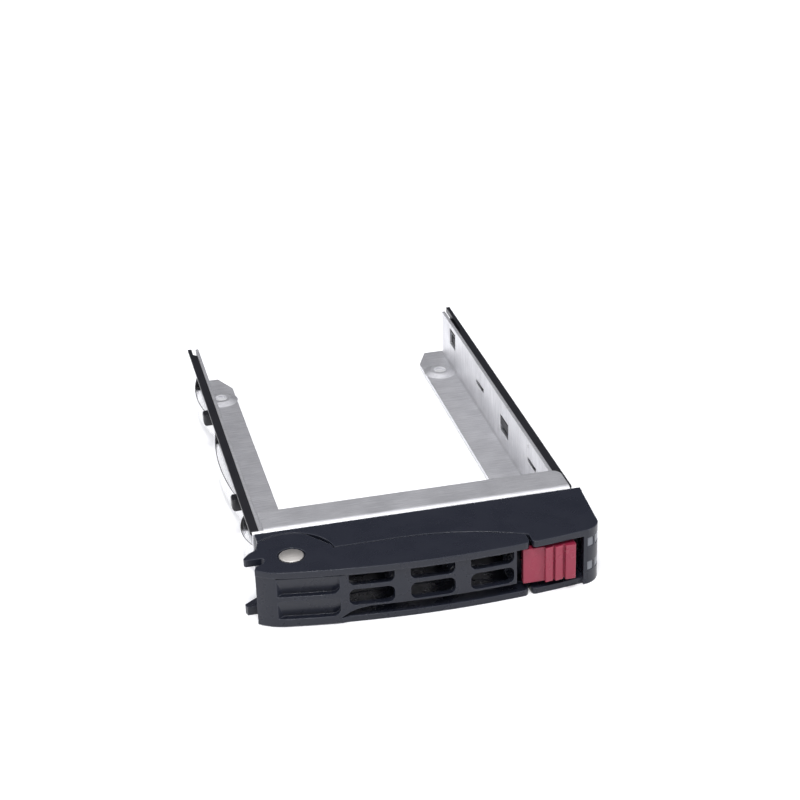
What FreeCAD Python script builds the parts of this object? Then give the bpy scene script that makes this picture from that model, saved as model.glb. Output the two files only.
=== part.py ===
import FreeCAD, Part
import math
import os

os.makedirs("parts", exist_ok=True)
V = FreeCAD.Vector

# Hot swap caddy for a 2.5 inch drive.  Millimetres.
# X runs left to right across the front, Y from the front panel back to the
# drive's connector, Z up.  The origin is the middle of the four drive screw
# holes, on the plane that the drive's underside rests on.

# ---------------------------------------------------------------- the drive
drive_width = 69.85
drive_length = 100.45
screw_span_x = 61.72            # bottom screw holes, across
screw_span_y = 76.6             # bottom screw holes, along
screw_to_connector = 14.0       # rear holes to the connector end
drive_side_gap = 0.225          # drive to each wall
drive_front_gap = 0.35          # drive to the cross flange

# ---------------------------------------------------------------- the tray
sheet = 0.8
bend_inside = 0.6
wall_height = 13.2              # from the bottom flanges' underside
cross_flange_rise = 0.3         # cross flange above the walls' top
flange_width = 9.25             # bottom flange, from the wall's outer face
flange_past_holes = 13.5        # rear holes to the flanges' rear ends
flange_slant_wide = 3.1         # slanted inner corner of each flange, across
flange_slant_long = 7.0         # and along
left_wall_past_holes = 8.0      # rear holes to the left wall's rear end
right_wall_past_holes = 13.0
front_strip_depth = 8.0         # bottom strip behind the front web
cross_flange_depth = 9.0        # top flange, front to back
flange_inside_wall = 0.25       # its left end, inside the left wall
flange_over_strip = 1.45        # its right end, past the right wall
cross_flange_corner = 2.2       # rounded rear corner of that end
web_past_wall = 1.65            # the web covers the left strip's end
web_on_wall = 0.15              # on the right it stops on the wall's edge
fold_gap = 0.25                 # between two edges that meet at a corner
dimple_outside = 9.0
dimple_rise = 0.7
dimple_flat = 5.4
screw_hole = 3.4

# holes in the side walls: middle from the rear screw holes, width, low, high
window_rear = (2.0, 6.0, 7.0, 11.8)
window_front = (-48.7, 7.4, 4.4, 8.8)
slit_rear = (-26.0, 7.4, 7.2, 8.4)
slit_front = (-72.5, 7.0, 7.2, 8.4)
pip_place = (-69.5, 11.5)
pip_size = 0.9

# ------------------------------------------------- guide strips and springs
strip_width = 2.0
strip_thick = 1.5
strip_bevel = 0.9
strip_gap = 0.05                # strip to wall
strip_front_gap = 0.3           # strip to the front web
left_tip_past_wall = 0.4
right_tip_past_wall = 2.6
left_tip_length = 4.6           # inner half cut back over this length
right_tip_length = 19.0
tip_share = 0.5                 # share of the strip's width left at the tip
hook_boss_size = 3.0
hook_boss_low = 7.4
hook_boss_out = 1.0             # boss stands this far past the strip
hook_boss_round = 0.7
hook_leg_thick = 1.1
catch_leg_thick = 0.6
catch_tall = 2.2
catch_gap = 0.5                 # catch to its window, all round
tongue_gap = 0.1                # tongue to its slit
leaf_thick = 0.2
leaf_low = 2.2
leaf_high = 7.0
leaf_bow = 2.35
leaf_gap = 0.02
leaf_seat = 0.8                 # flat seat past each boss
leaf_foot = 3.0                 # wall's end to the first wave
leaf_toe = 1.2                  # flat end past the last wave

# ------------------------------------------------- the front housing's outline
# heights in the front are from the housing's own underside
bezel_height = 14.1
bezel_drop = 1.0                # its underside below the bottom flanges
plate = 1.5                     # top and bottom walls
bezel_left_past_wall = 1.2      # fixed housing's left side
bezel_right_past_wall = 3.65    # right side at the back
corner_past_wall = 2.6          # right side at the front corner
corner_depth = 16.0             # start of the front right corner
corner_middle = (1.45, 17.85)   # past the wall, depth
right_shoulder = (-0.6, 19.1)   # end of the front curve
front_crown = (-1.0, 21.7)      # foremost point, from the middle plane
left_shoulder = (-2.05, 18.25)
left_bend = (1.55, 16.95)
left_end = (3.8, 15.3)
low_recess = 0.7                # bottom lip behind the top lip
rear_wall = 1.6
side_wall = 1.3
rib = 1.3
rib_depth = 10.0                # ribs behind the vents
left_side_depth = 3.6           # left side wall, front to back
pillar_depth = 12.0             # rear edge of the right pillar
seam_gap = 0.3                  # lever to housing
tip_gap = 0.75                  # lever's tip to housing
lip_round = 0.9                 # housing's lip beside the lever's tip
air_low = 3.4                   # airflow windows in the web and the rear wall
air_below_top = 2.9
pillar_past_wall = -1.75        # left face of the right pillar
panel_depth = 13.0              # panel behind the button
panel_thick = 1.2

# ------------------------------------------------------------- light pipes
pipe_thick = 1.1
pipe_tall = 1.8
pipe_low_level = 4.6
pipe_below_strip = 1.95         # upper pipe's middle, below the right strip
pipe_to_wall = 0.3
pipe_skin = 0.5                 # strip wall outside the pipes
pipe_gap = 0.06                 # pipe to housing
channel_gap = 0.1               # pipe to strip
channel_margin = 0.8
pipe_past_wall = 1.5            # rear end of the pipes past the wall's
cover_before_wall = 2.0
icon_tall = 2.1
icon_front = (-0.75, 0.65)      # front windows, from the wall
icon_corner = (1.35, 3.2)       # corner windows, from the wall
icon_corner_depth = (15.5, 17.9)
head_depth = (13.0, 15.6)       # bar that joins the two windows' blocks
pipe_flush = 0.12               # windows behind the housing's face

# ---------------------------------------------------------------- the lever
pivot_from_wall = 5.1
pivot_depth = 11.4
boss_radius = 9.65
boss_flat = 8.8                 # straight side of the boss, from the pivot
boss_flat_angle = 37.6
lever_rear = 10.7               # rear edge of its plates
rear_arc_length = 27.15         # curved part of that edge, across, to the tip
rear_arc_radius = 60.0
lever_tip_on_button = 1.25      # tip past the button's left side
tip_round = 1.3
face_recess = 0.7               # vent wall behind the top lip
grip_recess = 0.2               # grip behind the top lip
face_wall = 1.7
grip_wall = 3.0                 # thicker wall under the grip pads
lever_wall_depth = 13.2         # rear edge of the lever's inner walls
lever_rib_depth = 16.5          # and of its ribs between the vents
button_to_vents = 1.75          # vent wall's end to the button
end_wall = 1.4
vent_land = 3.55                # wall between two columns of vents
vent_to_end = 0.6
vent_to_pad = 1.9
vent_upper = (4.8, 2.1)         # low and high edge, below the top
vent_lower = (4.2, 5.8)         # low edge, high edge below the top
vent_round = 1.45
scoop_low = 1.0
scoop_high = 3.75
scoop_rise = ((-3.6, 0.0), (-0.9, 0.42), (1.6, 0.8), (4.6, 1.0))
pad_from_end = 4.1
pad_long = 13.9
pad_tall = 4.6
pad_low = 2.1
pad_pitch = 5.7
pad_round = 1.9
pad_depth = 1.35
pad_lead = 1.3                  # slope at each pad's left end
grip_groove = 0.3               # under the top lip
boss_side = ((131.0, 9.8), (147.0, 8.5))    # its left side: angle, radius
claw_flank_angle = 160.0
claw_upper_tip = (173.0, 10.7)              # angle, radius
claw_lower_tip = (170.0, 11.0)
claw_front = 10.8               # depth of its front edge
claw_round = 0.45
upper_claw_thick = 1.7
lower_claw_thick = 2.1
notch_inner = ((2.4, 10.8), (2.85, 11.4), (2.85, 12.3), (2.25, 13.1), (0.5, 14.1))
lug_radius = 4.6
lug_gap = 0.3                   # lug to the lever's plates
neck_half = 3.6
hook_tall = 4.2
barb_reach = 1.4
barb_thick = 1.2
barb_depth = 15.6

# ---------------------------------------------------------------- the rivet
shank = 3.0
running_gap = 0.05
press_gap = 0.03
head_diameter = 5.5
head_thick = 0.9
head_dome = 0.35
head_recess = 6.4
head_seat = 0.6                 # depth of the recess in the lever's top
washer_outside = 5.6
washer_thick = 0.4
tail_neck = 0.3                 # rivet's tail is this much thinner in radius

# --------------------------------------------------- button and small springs
button_width = 12.05
button_from_wall = 4.0
button_low = 3.0
button_below_top = 2.4
button_face = 19.75             # depth of the pad's front
button_thick = 1.5
ridge_starts = (4.9, 7.2, 9.6)
ridge_ends = (6.9, 9.2, 12.05)
ridge_proud = 0.95
ridge_round = 0.3
ridge_fall = 0.45               # each ridge slopes back by this much
button_travel = 2.2
stem_inside_left = 1.5
stem_inside_right = 0.95
stem_tall = 4.3
slot_gap = 0.15
snap_ear = 1.2
snap_thick = 1.1
snap_gap = 0.1
spring_wire = 0.35
spring_outside = 2.6
spring_bore_gap = 0.2
spring_bore_depth = 6.0
spring_turns = 5
spring_box = 3.9                # block that holds the spring, front to back
spigot = 1.4
spigot_length = 1.2
torsion_wire = 0.6
torsion_mean = 3.3
torsion_turns = 3
torsion_pitch = 0.75
lever_leg = 4.3                 # spring leg that pushes the lever
torsion_gap = 0.1               # spring's other leg to the neck
wire_sides = 6

# ---------------------------------------------------------------- the screws
screw_thread = 2.0
screw_length = 6.0
screw_clearance = 0.15
screw_head = 3.6
screw_head_thick = 1.2
screw_to_vent = 1.8             # middle screw to the middle column of vents
boss_size = 3.6
boss_long = 7.0

# ------------------------------------------------------------ worked-out places
seat_height = sheet + dimple_rise
wall_inner = drive_width / 2 + drive_side_gap
wall_outer = wall_inner + sheet
flange_edge = wall_outer - flange_width
flange_top = wall_height + cross_flange_rise
hole_y = screw_span_y / 2
drive_rear = hole_y + screw_to_connector
drive_front = drive_rear - drive_length
cross_back = drive_front - drive_front_gap
web_front = cross_back - cross_flange_depth
web_back = web_front + sheet
cross_flange_left = wall_inner - flange_inside_wall
cross_flange_right = wall_outer + flange_over_strip
web_left = wall_outer + web_past_wall
web_right = wall_inner + web_on_wall
flange_rear = hole_y + flange_past_holes
left_wall_rear = hole_y + left_wall_past_holes
right_wall_rear = hole_y + right_wall_past_holes
strip_inner = wall_outer + strip_gap
strip_outer = strip_inner + strip_width
strip_front = web_back + strip_front_gap

bezel_back = web_front
bezel_left = -(wall_outer + bezel_left_past_wall)
bezel_right = wall_outer + bezel_right_past_wall
bezel_far = bezel_back - 2 * front_crown[1]     # in front of everything
inside_low = plate
inside_high = bezel_height - plate
mid_height = bezel_height / 2
pivot_x = -(wall_outer - pivot_from_wall)
pivot_y = bezel_back - pivot_depth
left_tip_x = -(wall_outer + left_end[0])
button_right = wall_outer - button_from_wall
button_left = button_right - button_width
button_high = bezel_height - button_below_top
pillar_left = wall_outer + pillar_past_wall
panel_left = button_left
lever_tip = button_left + lever_tip_on_button
vent_end = button_left - button_to_vents
pad_left = left_tip_x + pad_from_end
pad_right = pad_left + pad_long
vent_start = pad_right + vent_to_pad
vent_width = (vent_end - vent_to_end - vent_start - 2 * vent_land) / 3
vent_lefts = [vent_start + k * (vent_width + vent_land) for k in range(3)]
rear_arc_start = lever_tip - rear_arc_length
pipe_levels = (pipe_low_level, bezel_drop + wall_height - strip_thick - pipe_below_strip)
air_high = bezel_height - air_below_top
screw_places = (pivot_x, vent_lefts[1] - screw_to_vent, button_left + button_width / 2)
fillet_share = 0.9              # a fillet takes no more of its wall than this
big = 10.0                      # how far a cutting block runs past what it cuts


def box(x0, x1, y0, y1, z0, z1):
    """A block between two corners."""
    return Part.makeBox(x1 - x0, y1 - y0, z1 - z0, V(x0, y0, z0))


def prism(points, z0, z1):
    """A flat outline in plan, raised from z0 to z1."""
    corners = [V(x, y, z0) for x, y in points]
    face = Part.Face(Part.makePolygon(corners + corners[:1]))
    return face.extrude(V(0, 0, z1 - z0))


def upright(radius, x, y, z0, z1):
    """A round bar standing on end."""
    return Part.makeCylinder(radius, z1 - z0, V(x, y, z0))


def level_bar(radius, x, y, z, length, direction):
    """A round bar lying along direction."""
    return Part.makeCylinder(radius, length, V(x, y, z), direction)


def fuse(shapes):
    """One solid made from several that touch."""
    return shapes[0].multiFuse(shapes[1:]).removeSplitter()


def edges_with(shape, test):
    """Straight edges of a shape whose two ends both pass a test."""
    found = []
    for edge in shape.Edges:
        if len(edge.Vertexes) == 2 and all(test(v.Point) for v in edge.Vertexes):
            found.append(edge)
    return found


def standing_edges(shape, test):
    """Edges along Z whose ends both pass a test."""
    found = []
    for edge in edges_with(shape, test):
        start = edge.Vertexes[0].Point
        end = edge.Vertexes[1].Point
        if math.hypot(start.x - end.x, start.y - end.y) < 1e-6:
            found.append(edge)
    return found


def rounded_slot(x0, x1, z0, z1, y0, y1, radius, round_top):
    """A block along Y with rounded lower corners, and upper ones if asked."""
    shape = box(x0, x1, y0, y1, z0, z1)
    share = fillet_share / 2 if round_top else fillet_share
    radius = min(radius, share * (z1 - z0))
    corners = []
    for edge in shape.Edges:
        start = edge.Vertexes[0].Point
        end = edge.Vertexes[1].Point
        along_y = abs(start.x - end.x) < 1e-6 and abs(start.z - end.z) < 1e-6
        if along_y and (round_top or start.z < (z0 + z1) / 2):
            corners.append(edge)
    return shape.makeFillet(radius, corners)


def coil(mean, wire, pitch, turns, lead, trail):
    """Wire coiled about Z in tilted half turns that meet tangent, with straight ends.

    The wire has wire_sides flat sides, which is enough on so thin a wire.
    """
    pieces = []

    def wire_end(x, z):
        points = []
        for k in range(wire_sides + 1):
            a = math.radians(360 * (k + 0.5) / wire_sides)
            points.append(V(x + wire / 2 * math.cos(a), 0, z + wire / 2 * math.sin(a)))
        return Part.Face(Part.makePolygon(points))

    for half in range(2 * turns):
        side = 1 if half % 2 == 0 else -1
        start = V(side * mean, 0, half * pitch / 2)
        end = V(-side * mean, 0, (half + 1) * pitch / 2)
        centre = (start + end) * 0.5
        axis = (start - centre).cross(V(0, side, 0))
        pieces.append(wire_end(start.x, start.z).revolve(centre, axis, 180))
    if lead > 0:
        pieces.append(wire_end(mean, 0).extrude(V(0, -lead, 0)))
    if trail > 0:
        pieces.append(wire_end(mean, turns * pitch).extrude(V(0, trail, 0)))
    return pieces[0].multiFuse(pieces[1:])


def save(name, shape, drop):
    """Write one piece, let down from the height that it is drawn at."""
    shape.translate(V(0, 0, -drop))
    shape.exportStep("parts/" + name + ".step")
    print(name, "solids", len(shape.Solids), "valid", shape.isValid(),
          "volume", round(shape.Volume, 1))


# ================================================================ tray_frame
def folded_side(side, y0, y1):
    """Bottom flange and wall of one side: an L section with a round bend."""
    r_in = bend_inside
    r_out = bend_inside + sheet
    lean = math.sqrt(0.5)
    outer_middle = (wall_outer - r_out + r_out * lean, r_out - r_out * lean)
    inner_middle = (wall_inner - r_in + r_in * lean, sheet + r_in - r_in * lean)

    def at(x, z):
        return V(side * x, y0, z)

    def bend(start, middle, end):
        return Part.Arc(at(*start), at(*middle), at(*end)).toShape()

    edges = [
        Part.makeLine(at(flange_edge, 0), at(wall_outer - r_out, 0)),
        bend((wall_outer - r_out, 0), outer_middle, (wall_outer, r_out)),
        Part.makeLine(at(wall_outer, r_out), at(wall_outer, wall_height)),
        Part.makeLine(at(wall_outer, wall_height), at(wall_inner, wall_height)),
        Part.makeLine(at(wall_inner, wall_height), at(wall_inner, sheet + r_in)),
        bend((wall_inner, sheet + r_in), inner_middle, (wall_inner - r_in, sheet)),
        Part.makeLine(at(wall_inner - r_in, sheet), at(flange_edge, sheet)),
        Part.makeLine(at(flange_edge, sheet), at(flange_edge, 0)),
    ]
    return Part.Face(Part.Wire(edges)).extrude(V(0, y1 - y0, 0))


def folded_front(x0, x1):
    """Bottom strip, web and top flange: a C section open to the rear."""
    r_in = bend_inside
    r_out = bend_inside + sheet
    lean = 1 - math.sqrt(0.5)
    strip_back = web_front + front_strip_depth

    def at(y, z):
        return V(x0, y, z)

    def bend(centre_y, centre_z, radius, up):
        """Quarter turn from the web to a flange, about its centre."""
        turn = radius if up else -radius
        return Part.Arc(at(centre_y - radius, centre_z),
                        at(centre_y - radius + radius * lean, centre_z + turn - turn * lean),
                        at(centre_y, centre_z + turn)).toShape()

    low = r_out
    high = flange_top - r_out
    centre = web_front + r_out
    edges = [
        Part.makeLine(at(strip_back, 0), at(centre, 0)),
        bend(centre, low, r_out, False),
        Part.makeLine(at(web_front, low), at(web_front, high)),
        bend(centre, high, r_out, True),
        Part.makeLine(at(centre, flange_top), at(cross_back, flange_top)),
        Part.makeLine(at(cross_back, flange_top), at(cross_back, flange_top - sheet)),
        Part.makeLine(at(cross_back, flange_top - sheet), at(centre, flange_top - sheet)),
        bend(centre, high, r_in, True),
        Part.makeLine(at(web_back, high), at(web_back, low)),
        bend(centre, low, r_in, False),
        Part.makeLine(at(centre, sheet), at(strip_back, sheet)),
        Part.makeLine(at(strip_back, sheet), at(strip_back, 0)),
    ]
    wire = Part.Wire(Part.__sortEdges__(edges))
    return Part.Face(wire).extrude(V(x1 - x0, 0, 0))


def drive_dimple(x, y):
    """A pressed cone that takes a flat screw head from below, as (add, cut)."""
    foot = dimple_outside / 2
    flat = dimple_flat / 2
    add = Part.makeCone(foot, flat, dimple_rise, V(x, y, sheet))
    cut = Part.makeCone(foot - sheet / 2, flat - sheet / 2, dimple_rise, V(x, y, 0))
    bore = upright(screw_hole / 2, x, y, -1, seat_height + 1)
    return add, cut.fuse(bore)


def wall_hole(side, place):
    """One window through a side wall."""
    middle, width, low, high = place
    x0 = min(side * (wall_inner - 1), side * (wall_outer + 1))
    y_middle = hole_y + middle
    return box(x0, x0 + sheet + 2, y_middle - width / 2, y_middle + width / 2, low, high)


side_front = web_back + fold_gap
under_flange = flange_top - sheet
left_side = folded_side(-1, side_front, flange_rear)
right_side = folded_side(1, side_front, flange_rear)
left_side = left_side.cut(box(-wall_outer - big, -wall_inner + bend_inside, left_wall_rear,
                              flange_rear + big, sheet, wall_height + big))
right_side = right_side.cut(box(wall_inner - bend_inside, wall_outer + big, right_wall_rear,
                                flange_rear + big, sheet, wall_height + big))
right_side = right_side.cut(box(wall_inner - big, wall_outer + big, side_front - big,
                                cross_back + fold_gap, under_flange - fold_gap,
                                wall_height + big))
front = folded_front(-web_left, cross_flange_right)
front = front.cut(fuse([
    box(-web_left - big, -cross_flange_left, web_back, cross_back + big,
        under_flange - bend_inside - sheet, flange_top + big),
    box(-web_left - big, -wall_outer, web_back, cross_back + big, -big, under_flange - big / 2),
    box(web_right, cross_flange_right + big, web_front - big, cross_back + big, sheet,
        under_flange - bend_inside),
    box(wall_outer, cross_flange_right + big, web_front - big, cross_back + big, -big, sheet + 1),
]))
rear_corner = standing_edges(front, lambda p: p.x > cross_flange_right - 1e-6
                             and p.y > cross_back - 1e-6)
front = front.makeFillet(cross_flange_corner, rear_corner)
frame = fuse([left_side, right_side, front])
for side in (-1, 1):
    slant = [(side * (flange_edge + across * flange_slant_wide),
              flange_rear + along * flange_slant_long)
             for across, along in ((-0.2, -1.2), (1.2, 0.2), (-0.2, 0.2))]
    frame = frame.cut(prism(slant, -1, sheet + 1))
    for y in (-hole_y, hole_y):
        add, cut = drive_dimple(side * screw_span_x / 2, y)
        frame = frame.fuse(add).cut(cut)
    for place in (window_rear, window_front, slit_rear, slit_front):
        frame = frame.cut(wall_hole(side, place))
    frame = frame.cut(level_bar(pip_size / 2, side * (wall_inner - 1), hole_y + pip_place[0],
                                pip_place[1], sheet + 2, V(side, 0, 0)))
for x0 in vent_lefts:
    frame = frame.cut(box(x0, x0 + vent_width, web_front - 1, web_back + 1,
                          air_low - bezel_drop, air_high - bezel_drop))
for x in screw_places:
    frame = frame.cut(level_bar(screw_thread / 2 + screw_clearance, x, web_front - 1,
                                mid_height - bezel_drop, sheet + 2, V(0, 1, 0)))
frame = frame.removeSplitter()
save("tray_frame", frame, seat_height)


# ============================================================== guide strips
def guide_strip(side, wall_rear, tip_past_wall, tip_length):
    """Black rail along the top of one wall, hooked into the wall's holes."""
    rear = wall_rear + tip_past_wall
    top = wall_height
    low = top - strip_thick
    rail = box(strip_inner, strip_outer, strip_front, rear, low, top)
    outer_low = edges_with(rail, lambda p: p.x > strip_outer - 1e-6 and p.z < low + 1e-6)
    rail = rail.makeChamfer(strip_bevel, outer_low)
    split = strip_inner + strip_width * tip_share
    lead = prism([(strip_inner - 1, rear - tip_length), (strip_inner, rear - tip_length),
                  (split, rear - tip_length * 0.8), (split, rear + 1),
                  (strip_inner - 1, rear + 1)], low - 1, top + 1)
    solids = [rail.cut(lead)]
    half = hook_boss_size / 2
    for place in (slit_rear, slit_front):
        middle = hole_y + place[0]
        leg = box(strip_inner, strip_inner + hook_leg_thick, middle - half, middle + half,
                  hook_boss_low, low)
        face = strip_outer + hook_boss_out
        boss = box(strip_inner, face, middle - half, middle + half,
                   hook_boss_low, hook_boss_low + hook_boss_size)
        boss = boss.makeFillet(hook_boss_round, edges_with(boss, lambda p: p.x > face - 1e-6))
        tongue = box(wall_inner + strip_gap, strip_inner + hook_leg_thick, middle - half,
                     middle + half, hook_boss_low + tongue_gap, place[3] - tongue_gap)
        solids += [leg, boss, tongue]
    for place in (window_rear, window_front):
        middle = hole_y + place[0]
        half_catch = place[1] / 2 - catch_gap
        tall = min(place[3], low) - catch_gap
        leg = box(strip_inner, strip_inner + catch_leg_thick, middle - half_catch,
                  middle + half_catch, tall - catch_tall, low)
        catch = box(wall_inner + strip_gap, strip_inner + catch_leg_thick, middle - half_catch,
                    middle + half_catch, tall - catch_tall, tall)
        solids += [leg, catch]
    strip = fuse(solids)
    if side < 0:
        return strip.mirror(V(0, 0, 0), V(1, 0, 0))
    return strip.cut(box(wall_inner, cross_flange_right + fold_gap, strip_front - 1,
                         cross_back + fold_gap, under_flange - channel_gap, top + 1))


left_strip = guide_strip(-1, left_wall_rear, left_tip_past_wall, left_tip_length)
save("left_guide_strip", left_strip, seat_height)

right_strip = guide_strip(1, right_wall_rear, right_tip_past_wall, right_tip_length)
pipe_inner = wall_outer + pipe_to_wall
pipe_outer = pipe_inner + pipe_thick
skin_inner = pipe_outer + channel_gap
skin_outer = skin_inner + pipe_skin
cover_rear = right_wall_rear - cover_before_wall
half_channel = pipe_tall / 2 + channel_gap
channel_levels = [level - bezel_drop for level in pipe_levels]
cover_low = channel_levels[0] - half_channel - channel_margin
cover = box(strip_inner, skin_outer, strip_front, cover_rear, cover_low,
            wall_height - strip_thick)
right_strip = right_strip.fuse(cover)
for level in channel_levels:
    channel = box(strip_inner - 1, skin_inner, strip_front - 1, cover_rear + 1,
                  level - half_channel, level + half_channel)
    right_strip = right_strip.cut(channel)
right_strip = right_strip.removeSplitter()
save("right_guide_strip", right_strip, seat_height)


# ========================================================== left_side_spring
def bowed_leaf(face_x, waves):
    """A thin leaf against the left wall that bows outward between its seats."""
    first = waves[0][0] - leaf_toe
    last = waves[-1][1] + leaf_toe

    def at(offset, y):
        return V(-face_x - offset, y, leaf_low)

    def path(offset):
        edges = []
        y = first
        for start, end in waves:
            edges.append(Part.makeLine(at(offset, y), at(offset, start)))
            crest = at(offset + leaf_bow, (start + end) / 2)
            edges.append(Part.Arc(at(offset, start), crest, at(offset, end)).toShape())
            y = end
        edges.append(Part.makeLine(at(offset, y), at(offset, last)))
        return edges

    ends = [Part.makeLine(at(0, y), at(leaf_thick, y)) for y in (first, last)]
    wire = Part.Wire(Part.__sortEdges__(path(leaf_thick) + path(0) + ends))
    return Part.Face(wire).extrude(V(0, 0, leaf_high - leaf_low))


boss_rear_y = hole_y + slit_rear[0]
boss_front_y = hole_y + slit_front[0]
half_seat = hook_boss_size / 2 + leaf_seat
waves = [(strip_front + leaf_foot, boss_front_y - half_seat),
         (boss_front_y + half_seat, boss_rear_y - half_seat),
         (boss_rear_y + half_seat, left_wall_rear - leaf_foot)]
save("left_side_spring", bowed_leaf(wall_outer + leaf_gap, waves), seat_height)


# ================================================== outlines shared at the front
# Everything from here on is drawn from the housing's own underside.
front_drop = seat_height + bezel_drop


def at_depth(x, depth):
    """Point in plan at a depth forward of the housing's back."""
    return V(x, bezel_back - depth, 0)


tip_point = at_depth(left_tip_x, left_end[1])
bend_point = at_depth(-(wall_outer + left_bend[0]), left_bend[1])
shoulder_point = at_depth(-(wall_outer + left_shoulder[0]), left_shoulder[1])
crown_point = at_depth(*front_crown)
right_point = at_depth(wall_outer + right_shoulder[0], right_shoulder[1])
corner_mid_point = at_depth(wall_outer + corner_middle[0], corner_middle[1])
corner_point = at_depth(wall_outer + corner_past_wall, corner_depth)
front_curve = Part.Arc(shoulder_point, crown_point, right_point).toShape()


def front_y(x, setback):
    """Y of the long front curve at x, moved back by setback."""
    centre = front_curve.Curve.Center
    reach = math.sqrt(front_curve.Curve.Radius ** 2 - (x - centre.x) ** 2)
    return centre.y - reach + setback


def front_blank(setback, z0, z1):
    """Plan outline of the whole front, with its curve moved back by setback."""
    shift = V(0, setback, 0)
    back_left = V(left_tip_x, bezel_back, 0)
    back_right = V(bezel_right, bezel_back, 0)
    left_arc = Part.Arc(tip_point, bend_point, shoulder_point).toShape()
    corner_arc = Part.Arc(right_point, corner_mid_point, corner_point).toShape()
    curves = [left_arc, front_curve, corner_arc]
    edges = [curve.translated(shift) for curve in curves]
    edges += [
        Part.makeLine(back_left, tip_point + shift),
        Part.makeLine(corner_point + shift, back_right),
        Part.makeLine(back_right, back_left),
    ]
    blank = Part.Face(Part.Wire(Part.__sortEdges__(edges))).extrude(V(0, 0, z1 - z0))
    blank.translate(V(0, 0, z0))
    return blank


def lever_zone(gap, end_gap, z0, z1):
    """Plan area that the lever takes, grown by a gap, with a full round boss."""
    rear = bezel_back - lever_rear + gap
    centre_y = bezel_back - lever_rear - rear_arc_radius
    boss = upright(boss_radius + gap, pivot_x, pivot_y, z0, z1)
    band = box(left_tip_x - big, rear_arc_start, bezel_far, rear, z0, z1)
    arc = upright(rear_arc_radius + gap, rear_arc_start, centre_y, z0, z1)
    sweep = box(rear_arc_start, lever_tip + end_gap, bezel_far, rear, z0, z1).common(arc)
    return fuse([boss, band, sweep])


# ================================================================ bezel_body
def bezel_plate(setback, z0, z1):
    """Top or bottom wall of the fixed housing, round beside the lever's tip."""
    whole = front_blank(setback, z0, z1)
    keep = box(bezel_left, bezel_right + 1, bezel_far, bezel_back, z0, z1)
    wall = whole.common(keep).cut(lever_zone(seam_gap, tip_gap, z0 - 1, z1 + 1))
    lip_x = lever_tip + tip_gap
    lip_y = front_y(lip_x, setback)
    lip = standing_edges(wall, lambda p: abs(p.x - lip_x) < 0.01 and abs(p.y - lip_y) < 0.01)
    return wall.makeFillet(lip_round, lip)


rear_face = bezel_back - rear_wall
panel_back = bezel_back - panel_depth + panel_thick
rib_low = inside_low - 0.1
rib_high = inside_high + 0.1
solids = [
    bezel_plate(0, inside_high, bezel_height),
    bezel_plate(low_recess, 0, inside_low),
    box(bezel_left, bezel_right, rear_face, bezel_back, 0, bezel_height),
    box(bezel_left, bezel_left + side_wall, bezel_back - left_side_depth, bezel_back,
        0, bezel_height),
]
# right side wall and pillar follow the outline
front_block = front_blank(0, 0, bezel_height)
solids.append(front_block.common(box(pillar_left, bezel_right + 1, bezel_far,
                                     bezel_back - pillar_depth, 0, bezel_height)))
solids.append(front_block.common(box(wall_outer + corner_past_wall - side_wall, bezel_right + 1,
                                     bezel_far, bezel_back, 0, bezel_height)))
# panel behind the button, its stop for the small spring, and the ribs
solids.append(box(panel_left, pillar_left + 1, bezel_back - panel_depth, panel_back,
                  rib_low, rib_high))
solids.append(box(pillar_left, pillar_left + rib, bezel_back - panel_depth, bezel_back,
                  rib_low, rib_high))
rib_places = [pad_right - rib, panel_left + rib / 2]
rib_places += [x0 - vent_land / 2 for x0 in vent_lefts[1:]]
for x in rib_places:
    solids.append(box(x - rib / 2, x + rib / 2, bezel_back - rib_depth, bezel_back,
                      rib_low, rib_high))
# pivot lug and the neck that carries it
lug_low = inside_low + lug_gap
lug_high = inside_high - lug_gap
coil_top = lug_low + torsion_turns * torsion_pitch + 2 * torsion_wire
neck_step = lug_radius + torsion_wire
solids.append(upright(lug_radius, pivot_x, pivot_y, coil_top, lug_high))
solids.append(box(pivot_x - neck_half, pivot_x + lug_radius, pivot_y, bezel_back,
                  coil_top, lug_high))
solids.append(box(pivot_x - neck_half, pivot_x + lug_radius, pivot_y + neck_step, bezel_back,
                  lug_low, coil_top))
for x in screw_places:
    solids.append(level_bar(boss_size / 2, x, bezel_back, mid_height, boss_long, V(0, -1, 0)))
bezel = fuse(solids)
bezel = bezel.cut(lever_zone(seam_gap, tip_gap, inside_high, bezel_height + 1))
bezel = bezel.cut(lever_zone(seam_gap, tip_gap, -1, inside_low))
# the thicker claws pass the left side wall as the lever swings
claw_room = upright(boss_radius + seam_gap, pivot_x, pivot_y, 0, bezel_height)
for z0, z1 in ((0, lower_claw_thick + seam_gap),
               (bezel_height - upper_claw_thick - seam_gap, bezel_height)):
    bezel = bezel.cut(claw_room.common(box(bezel_left - 1, pivot_x - lug_radius - seam_gap,
                                           bezel_far, bezel_back, z0, z1)))
# airflow windows in the rear wall
for x0 in vent_lefts:
    bezel = bezel.cut(box(x0, x0 + vent_width, rear_face - 1, bezel_back + 1, air_low, air_high))
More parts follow.
